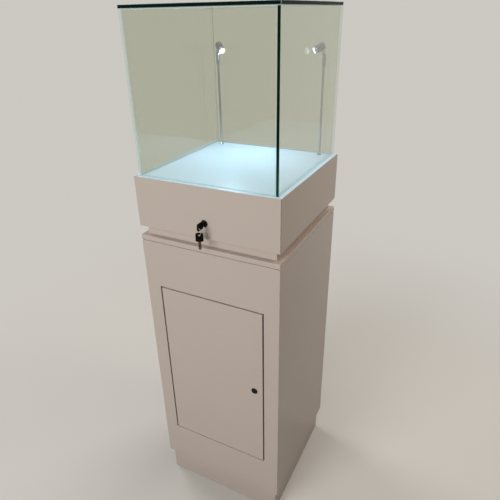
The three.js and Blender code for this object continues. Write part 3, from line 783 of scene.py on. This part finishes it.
black_tone = (0.002, 0.002, 0.0018, 1)
black_worn_tone = (0.006, 0.006, 0.0055, 1)
black, resin = new_material("black_moulding")
place = resin.node("TexCoord", output="Object")
grain = resin.node("TexNoise", {}, {"Vector": place, "Scale": 1400, "Detail": 2})
worn = resin.node("TexNoise", {}, {"Vector": place, "Scale": 180, "Detail": 3})
tone = worn.mix(black_tone, black_worn_tone)
relief = resin.node("Bump", {}, {"Height": grain, "Strength": 0.4, "Distance": 0.00003})
resin.cover({
    "Base Color": tone, "Roughness": 0.38 + worn * 0.15, "Normal": relief,
    "Specular IOR Level": 0.05,
})

blade_tone = (0.165, 0.105, 0.062, 1)
blade_dark_tone = (0.085, 0.052, 0.030, 1)
bronze, plate = new_material("worn_key_blade")
place = plate.node("TexCoord", output="Object")
bloom = plate.node("TexNoise", {}, {"Vector": place, "Scale": 420, "Detail": 4})
tone = bloom.mix(blade_tone, blade_dark_tone)
relief = plate.node("Bump", {}, {"Height": bloom, "Strength": 0.3, "Distance": 0.00004})
plate.cover({
    "Base Color": tone, "Metallic": 1.0, "Roughness": 0.30 + bloom * 0.2, "Normal": relief,
})


def rounded_outline(left, right, low, high, corners, steps=5):
    """Rectangle with its own radius at each corner, from the left low one anticlockwise."""
    outline = []
    centres = [
        (left + corners[0], low + corners[0], 180), (right - corners[1], low + corners[1], 270),
        (right - corners[2], high - corners[2], 0), (left + corners[3], high - corners[3], 90),
    ]
    for (x, y, start), radius in zip(centres, corners):
        for step in range(steps + 1):
            angle = math.radians(start + 90 * step / steps)
            outline.append((x + radius * math.cos(angle), y + radius * math.sin(angle)))
    return outline


def add_key(name, place, node):
    """A key along the X of a place, with the plug's face at X 0 and its flat sides on Z."""
    far = -key_exposed - head_length
    half = head_width / 2
    outline = rounded_outline(far, -key_exposed, -half, half,
                              (head_corner, head_corner / 2, head_corner / 2, head_corner))
    mesh = prism(outline, place, -head_thickness / 2, head_thickness / 2)
    round_arrises(mesh, head_arris)
    hole_x = far + key_hole_inset
    hole = rod(key_hole, place @ Vector((hole_x, 0, -overrun)),
               place @ Vector((hole_x, 0, overrun)))
    grip = rounded_outline(hole_x + key_hole + grip_corner, -key_exposed - grip_neck,
                           -half + grip_margin, half - grip_margin, (grip_corner,) * 4)
    panels = [prism(grip, place, flat - grip_recess, flat + grip_recess)
              for flat in (-head_thickness / 2, head_thickness / 2)]
    add_piece(f"{name}_head", mesh, [black], body_of(node), [node], [hole, *panels])

    root = -key_exposed - blade_root
    tip = blade_length - key_exposed
    half = blade_width / 2
    outline = [(root, -half), (tip - blade_point, -half), (tip, 0), (tip - blade_point, half)]
    for notch in range(notch_count):
        x = tip - notch_start - notch * notch_pitch
        outline += [(x, half), (x - notch_pitch / 2, half - notch_depth * (1 - notch_fade * notch))]
    outline += [(tip - notch_start - notch_count * notch_pitch, half), (root, half)]
    mesh = prism(outline, place, -blade_thickness / 2, blade_thickness / 2)
    round_arrises(mesh, blade_arris, segments=2)
    add_piece(f"{name}_blade", mesh, [bronze], body_of(node))


stand_up = Matrix(((0, 0, 1, 0), (1, 0, 0, 0), (0, 1, 0, 0), (0, 0, 0, 1)))
plug_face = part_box("drawer_lock_body")[0].y
lock_place = Vector(joint["drawer_lock_turn"]["pos_m"])
add_key("key", Matrix.Translation((0, plug_face, lock_place.z)) @ stand_up, "key")
spare_turn = math.radians(-62)
ring_seat = 0.0014
hang = Vector(joint["spare_swing"]["pos_m"]) - Vector((0, 0, key_hole - ring_seat))
place = (
    Matrix.Translation(hang) @ Matrix.Rotation(spare_turn, 4, "Z")
    @ Matrix.Rotation(-math.pi / 2, 4, "X")
    @ Matrix.Translation((0, key_exposed + head_length - key_hole_inset, 0)) @ stand_up
)
add_key("spare_key", place, "spare_key")

ring_radius = 0.009
ring_wire = 0.0006
ring_drift = 2.2 * ring_wire
ring_start = 0.9
ring_turns = 2
ring_steps = 40


def tube(points, radius, sides=10):
    """Round wire along a list of points, with closed ends."""
    mesh = bmesh.new()
    rings = []
    across = None
    for i, point in enumerate(points):
        run = (points[min(i + 1, len(points) - 1)] - points[max(i - 1, 0)]).normalized()
        if across is None:
            across = run.orthogonal()
        across = (across - run * across.dot(run)).normalized()
        up = run.cross(across)
        ring = []
        for side in range(sides):
            angle = 2 * math.pi * side / sides
            offset = across * math.cos(angle) + up * math.sin(angle)
            ring.append(mesh.verts.new(point + offset * radius))
        rings.append(ring)
    for ring, after in zip(rings, rings[1:]):
        for side in range(sides):
            turn = (side + 1) % sides
            mesh.faces.new((ring[side], ring[turn], after[turn], after[side]))
    mesh.faces.new(rings[0])
    mesh.faces.new(rings[-1])
    bmesh.ops.recalc_face_normals(mesh, faces=mesh.faces)
    return mesh


swing = Vector(joint["ring_swing"]["axis"])
ring_axis = Vector((0, 0, 1)).cross(swing)
ring_middle = Vector(joint["ring_swing"]["pos_m"]) - Vector((0, 0, ring_radius))
points = []
for step in range(ring_turns * ring_steps + 1):
    angle = 2 * math.pi * step / ring_steps + ring_start
    drift = (step / (ring_turns * ring_steps) - 0.5) * ring_drift
    points.append(ring_middle + swing * (ring_radius * math.cos(angle))
                  + Vector((0, 0, ring_radius * math.sin(angle))) + ring_axis * drift)
add_piece("split_ring", tube(points, ring_wire, 8), [zinc], "key_ring", ["key_ring"])


# ---- Pole lamps ----
# Two chrome rods stand on flanges at the back corners. On each, a sleeve turns and carries the
# tilting head: a finned alloy barrel with a plain bezel round the glowing lens.
lamp_gap = 0.0003
pole_radius = 0.003
pole_softness = 0.0004
flange_radius = 0.006
flange_thickness = 0.003
flange_bevel = 0.001
fillet_width, fillet_height = 0.0003, 0.0006
stud_radius = 0.004
sleeve_radius = 0.005
sleeve_bore = 0.0032
sleeve_length = 0.032
sleeve_bevel = 0.001
sleeve_line, line_depth = 0.006, 0.0005
tongue_radius = 0.0036
tongue_thickness = 0.004
tongue_sunk = 0.0005
tongue_arris = 0.0003
trunnion_radius = 0.0016
ear_thickness = 0.002
ear_sunk = 0.001
head_radius = 0.0095
head_offset = 0.014
head_behind = 0.0075
head_ahead = 0.021
nose_down = {"left": math.radians(37), "right": math.radians(26)}
fin_count = 10
fin_depth = 0.0014
fin_arris = 0.00025
fin_shape = ((0.0, 0.0), (0.45, 0.0), (0.55, 1.0), (0.9, 1.0))
bezel_fit = 0.0002
bezel_length = 0.006
bezel_bevel = 0.0012
lip_width, lip_depth = 0.0004, 0.0008
lens_radius = 0.0076
lens_recess = 0.0033
lens_rim = 0.001
lens_dome = 0.002
dome_steps = 10
lens_tone = (1.0, 1.0, 1.0, 1)
glow_tone = (0.93, 0.97, 1.0, 1)
glow_strength = 9.0
beam_tone = (0.52, 0.76, 1.0)
beam_power = 3.6
beam_angle = math.radians(165)
beam_blend = 0.8
beam_radius = 0.007
beam_ahead = 0.002
chrome_tone = (0.52, 0.53, 0.55, 1)
chrome_dull_tone = (0.42, 0.425, 0.45, 1)
alloy_tone = (0.74, 0.75, 0.86, 1)
alloy_dull_tone = (0.62, 0.63, 0.74, 1)
groove_shade_tone = (0.090, 0.088, 0.110, 1)
groove_shade_pale_tone = (0.150, 0.148, 0.175, 1)

chrome, plate = new_material("polished_chrome")
place = plate.node("TexCoord", output="Object")
bloom = plate.node("TexNoise", {}, {"Vector": place, "Scale": 130, "Detail": 4})
tone = bloom.mix(chrome_tone, chrome_dull_tone)
plate.cover({"Base Color": tone, "Metallic": 1.0, "Roughness": 0.14 + bloom * 0.12})

alloy, plate = new_material("turned_alloy")
place = plate.node("TexCoord", output="Object")
bloom = plate.node("TexNoise", {}, {"Vector": place, "Scale": 160, "Detail": 4})
tone = bloom.mix(alloy_tone, alloy_dull_tone)
plate.cover({"Base Color": tone, "Metallic": 1.0, "Roughness": 0.16 + bloom * 0.10})

# Painted shade for the grooves between the fins: a dark metal where shadow falls.
groove_shade_paint, plate = new_material("groove_painted_shade")
place = plate.node("TexCoord", output="Object")
bloom = plate.node("TexNoise", {}, {"Vector": place, "Scale": 300, "Detail": 3})
tone = bloom.mix(groove_shade_tone, groove_shade_pale_tone)
plate.cover({"Base Color": tone, "Metallic": 1.0, "Roughness": 0.25 + bloom * 0.15})

lens_glow, bulb = new_material("lit_lens")
place = bulb.node("TexCoord", output="Object")
facet = bulb.node("TexVoronoi", {}, {"Vector": place, "Scale": 520}, "Distance")
bulb.cover({
    "Base Color": lens_tone, "Roughness": 0.1 + facet * 0.2,
    "Emission Color": glow_tone, "Emission Strength": glow_strength,
})


def half_round(radius, up, steps=12):
    """Half a circle of (x, y) pairs that bulges up, 1, or down, -1."""
    angles = [math.pi * step / steps for step in range(steps + 1)]
    return [(radius * math.cos(angle), up * radius * math.sin(angle)) for angle in angles]


for hand in ("left", "right"):
    pole = f"lamp_{hand}_pole"
    low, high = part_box(pole)
    middle = (low + high) / 2
    strip_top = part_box("lamp_strip")[1].z
    foot = Matrix.Translation((middle.x, middle.y, strip_top))
    stud = low.z - strip_top
    top = high.z - strip_top
    profile = softened([
        (0, stud), (stud_radius, stud), (stud_radius, seat_gap), (flange_radius, seat_gap),
        (flange_radius, flange_thickness - flange_bevel),
        (flange_radius - flange_bevel, flange_thickness),
        (pole_radius + fillet_width, flange_thickness),
        (pole_radius, flange_thickness + fillet_height), (pole_radius, top), (0, top),
    ], pole_softness)
    add_piece(f"lamp_{hand}_rod", turned(profile, foot), [chrome], "case", [pole])

    pivot = Vector(joint[f"lamp_{hand}_tilt"]["pos_m"])
    across = Vector(joint[f"lamp_{hand}_tilt"]["axis"])
    ahead = across.cross(Vector((0, 0, 1)))
    aimed = Matrix((ahead, across, Vector((0, 0, 1)))).transposed().to_4x4()
    level = Matrix.Translation(pivot) @ aimed
    sleeve_top = pivot.z - tongue_radius - lamp_gap
    column = Matrix.Translation((middle.x, middle.y, sleeve_top))
    bore_top = high.z + lamp_gap - sleeve_top
    line = sleeve_line - sleeve_length
    profile = softened([
        (0, bore_top), (sleeve_bore, bore_top), (sleeve_bore, -sleeve_length),
        (sleeve_radius, -sleeve_length), (sleeve_radius, line),
        (sleeve_radius - line_depth, line + line_depth), (sleeve_radius, line + 2 * line_depth),
        (sleeve_radius, -sleeve_bevel), (sleeve_radius - sleeve_bevel, 0), (0, 0),
    ], fine_softness)
    sleeve_body = f"lamp_{hand}_sleeve"
    add_piece(f"lamp_{hand}_collar", turned(profile, column), [chrome], sleeve_body,
              [f"lamp_{hand}_sleeve"])
    tongue_foot = sleeve_top - pivot.z - tongue_sunk
    tongue = half_round(tongue_radius, 1)
    tongue += [(-tongue_radius, tongue_foot), (tongue_radius - sleeve_bevel, tongue_foot)]
    upright = level @ Matrix.Rotation(math.pi / 2, 4, "X")
    mesh = prism(tongue, upright, -tongue_thickness / 2, tongue_thickness / 2)
    round_arrises(mesh, tongue_arris, segments=2)
    add_piece(f"lamp_{hand}_tongue", mesh, [chrome], sleeve_body)
    ear_front = tongue_thickness / 2 + lamp_gap
    reach = ear_front + ear_thickness + lamp_gap
    profile = softened([
        (0, -reach), (trunnion_radius, -reach), (trunnion_radius, reach), (0, reach),
    ], fine_softness)
    screw = turned(profile, upright, 24)
    add_piece(f"lamp_{hand}_tilt_screw", screw, [zinc], sleeve_body)

    head_body = f"lamp_{hand}_head"
    nose = level @ Matrix.Rotation(nose_down[hand], 4, "Y")
    barrel_place = nose @ Matrix.Translation((0, 0, head_offset))
    barrel_place = barrel_place @ Matrix.Rotation(math.pi / 2, 4, "Y")
    outline = []
    for fin in range(fin_count):
        for share, sunk in fin_shape:
            angle = 2 * math.pi * (fin + share) / fin_count
            radius = head_radius - fin_depth * sunk
            outline.append((radius * math.cos(angle), radius * math.sin(angle)))
    bezel_back = head_ahead - bezel_length
    mesh = prism(outline, barrel_place, -head_behind, bezel_back)
    round_arrises(mesh, fin_arris, segments=2)
    # The floors and sides of the grooves get a dark metal, painted shade, and the fins and both
    # ends keep the bright alloy.
    to_barrel = barrel_place.inverted()
    for face in mesh.faces:
        centre = to_barrel @ face.calc_center_median()
        away = math.hypot(centre.x, centre.y)
        face.material_index = int(head_radius / 3 < away < head_radius - fin_depth * 0.4)
    add_piece(f"lamp_{hand}_finned_barrel", mesh, [alloy, groove_shade_paint], head_body,
              [f"lamp_{hand}_head"])
    bezel_bore = lens_radius + bezel_fit
    bezel_foot = bezel_back + bezel_fit
    profile = softened([
        (bezel_bore, bezel_foot), (head_radius, bezel_foot),
        (head_radius, head_ahead - bezel_bevel), (head_radius - bezel_bevel, head_ahead),
        (bezel_bore + lip_width, head_ahead), (bezel_bore, head_ahead - lip_depth),
    ], fine_softness)
    add_piece(f"lamp_{hand}_bezel", turned(profile, barrel_place), [alloy], head_body)
    cup = nose @ Matrix.Rotation(math.pi / 2, 4, "X")
    ear_top = head_offset - head_radius + fin_depth + ear_sunk
    ear = half_round(tongue_radius, -1) + [(-tongue_radius, ear_top), (tongue_radius, ear_top)]
    for number, near in ((1, ear_front), (2, -ear_front - ear_thickness)):
        mesh = prism(ear, cup, near, near + ear_thickness)
        round_arrises(mesh, tongue_arris, segments=2)
        hole = rod(trunnion_radius + bezel_fit, cup @ Vector((0, 0, -2 * overrun)),
                   cup @ Vector((0, 0, 2 * overrun)), 24)
        add_piece(f"lamp_{hand}_ear_{number}", mesh, [alloy], head_body, cuts=[hole])
    lens_back = head_ahead - lens_recess
    profile = [(0, lens_back), (lens_radius, lens_back)]
    for step in range(dome_steps + 1):
        angle = math.pi / 2 * step / dome_steps
        radius = lens_radius * math.cos(angle) if step < dome_steps else 0
        profile.append((radius, lens_back + lens_rim + lens_dome * math.sin(angle)))
    mesh = turned(profile, barrel_place)
    lens = add_piece(f"lamp_{hand}_glowing_lens", mesh, [lens_glow], head_body,
                     [f"lamp_{hand}_lens"])
    beam = bpy.data.lights.new(f"lamp_{hand}_light", "SPOT")
    beam.energy = beam_power
    beam.spot_size = beam_angle
    beam.spot_blend = beam_blend
    beam.shadow_soft_size = beam_radius
    beam.color = beam_tone
    spot = bpy.data.objects.new(f"lamp_{hand}_light", beam)
    bpy.context.scene.collection.objects.link(spot)
    spot.parent = lens
    beam_start = Matrix.Translation((0, 0, head_ahead + beam_ahead))
    spot.matrix_world = barrel_place @ beam_start @ Matrix.Rotation(math.pi, 4, "X")


# ---- Lamp driver and leads ----
# A small moulded power supply is screwed to the back panel inside the cupboard. A joined pair of
# thin sheathed leads comes down to it from the poles' studs, through a hole in each board.
driver_arris = 0.002
driver_ear_width = 0.012
driver_ear_depth = 0.003
driver_ear_arris = 0.0008
screw_head = [(0, 0.0), (0.0035, 0.0), (0.0030, 0.0012), (0, 0.0018)]
screw_softness = 0.0004
lead_radius = 0.0016
lead_gap = 0.0003
lead_bend = 0.02
lead_join_height = 0.0066
trunk_radius = 0.0022
trunk_inset = 0.015
trunk_straight = 0.009

plastic_tone = (0.58, 0.57, 0.54, 1)
plastic_yellow_tone = (0.52, 0.50, 0.44, 1)
plastic, resin = new_material("driver_moulding")
place = resin.node("TexCoord", output="Object")
grain = resin.node("TexNoise", {}, {"Vector": place, "Scale": 900, "Detail": 2})
aged = resin.node("TexNoise", {}, {"Vector": place, "Scale": 20, "Detail": 3})
tone = aged.mix(plastic_tone, plastic_yellow_tone)
relief = resin.node("Bump", {}, {"Height": grain, "Strength": 0.5, "Distance": 0.00005})
resin.cover({"Base Color": tone, "Roughness": 0.38 + aged * 0.12, "Normal": relief})

low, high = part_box("led_driver")
middle = (low + high) / 2
wide = driver_ear_width
front = high.y - driver_ear_depth
mesh = block((low.x + wide, low.y, low.z), (high.x - wide, high.y, high.z))
round_arrises(mesh, driver_arris, "back")
add_piece("led_driver_case", mesh, [plastic], "case", ["led_driver"])
for hand, x in (("left", low.x), ("right", high.x - wide)):
    mesh = block((x, front, middle.z - wide), (x + wide, high.y, middle.z + wide))
    round_arrises(mesh, driver_ear_arris, "back")
    add_piece(f"led_driver_ear_{hand}", mesh, [plastic], "case")
    place = Matrix.Translation((x + wide / 2, front, middle.z))
    place = place @ Matrix.Rotation(math.pi / 2, 4, "X")
    screw = turned(softened(screw_head, screw_softness), place, 24)
    add_piece(f"led_driver_screw_{hand}", screw, [zinc], "case")

sheath_tone = (0.55, 0.55, 0.52, 1)
sheath_grey_tone = (0.46, 0.46, 0.44, 1)
sheath, resin = new_material("lead_sheath")
place = resin.node("TexCoord", output="Object")
aged = resin.node("TexNoise", {}, {"Vector": place, "Scale": 60, "Detail": 3})
resin.cover({"Base Color": aged.mix(sheath_tone, sheath_grey_tone), "Roughness": 0.4 + aged * 0.1})


def smooth_route(points, steps=14):
    """A smooth line through a list of points."""
    route = []
    for i in range(len(points) - 1):
        before = points[max(i - 1, 0)]
        start, end = points[i], points[i + 1]
        after = points[min(i + 2, len(points) - 1)]
        for step in range(steps):
            t = step / steps
            route.append(0.5 * (2 * start + (end - before) * t
                                + (2 * before - 5 * start + 4 * end - after) * t ** 2
                                + (3 * start - before - 3 * end + after) * t ** 3))
    return route + [points[-1]]


floor_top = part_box("upper_floor")[1].z
base_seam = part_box("top_panel")[0].z
cable_y = cable_place.y
entry_y = high.y - trunk_inset
join_z = floor_top + lead_join_height
route = smooth_route([
    Vector((0, cable_y, join_z + trunk_radius)), Vector((0, cable_y, floor_top)),
    Vector((0, cable_y, base_seam)),
    Vector((0, (cable_y + entry_y) / 2, (base_seam + high.z) / 2)),
    Vector((0, entry_y, high.z + trunk_straight)), Vector((0, entry_y, high.z + lead_gap)),
])
add_piece("lamp_lead_trunk", tube(route, trunk_radius), [sheath], "case", ["lamp_lead"])
for hand, side in (("left", -1), ("right", 1)):
    stud_low, stud_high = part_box(f"lamp_{hand}_pole")
    pole_x = abs(stud_low.x + stud_high.x) / 2
    pole_y = (stud_low.y + stud_high.y) / 2
    start = stud_low.z - lead_gap
    route = smooth_route([
        Vector((side * pole_x, pole_y, start)), Vector((side * pole_x, pole_y, start - lead_bend)),
        Vector((side * (pole_x - lead_bend), pole_y, join_z + lead_bend)),
        Vector((side * pole_x / 2, (pole_y + cable_y) / 2, join_z + lead_radius)),
        Vector((0, cable_y, join_z)),
    ])
    add_piece(f"lamp_lead_{hand}", tube(route, lead_radius), [sheath], "case")

size = {
    "cad": [list(corner) for corner in cad_bounds],
    "visual": [list(corner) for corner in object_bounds()],
}
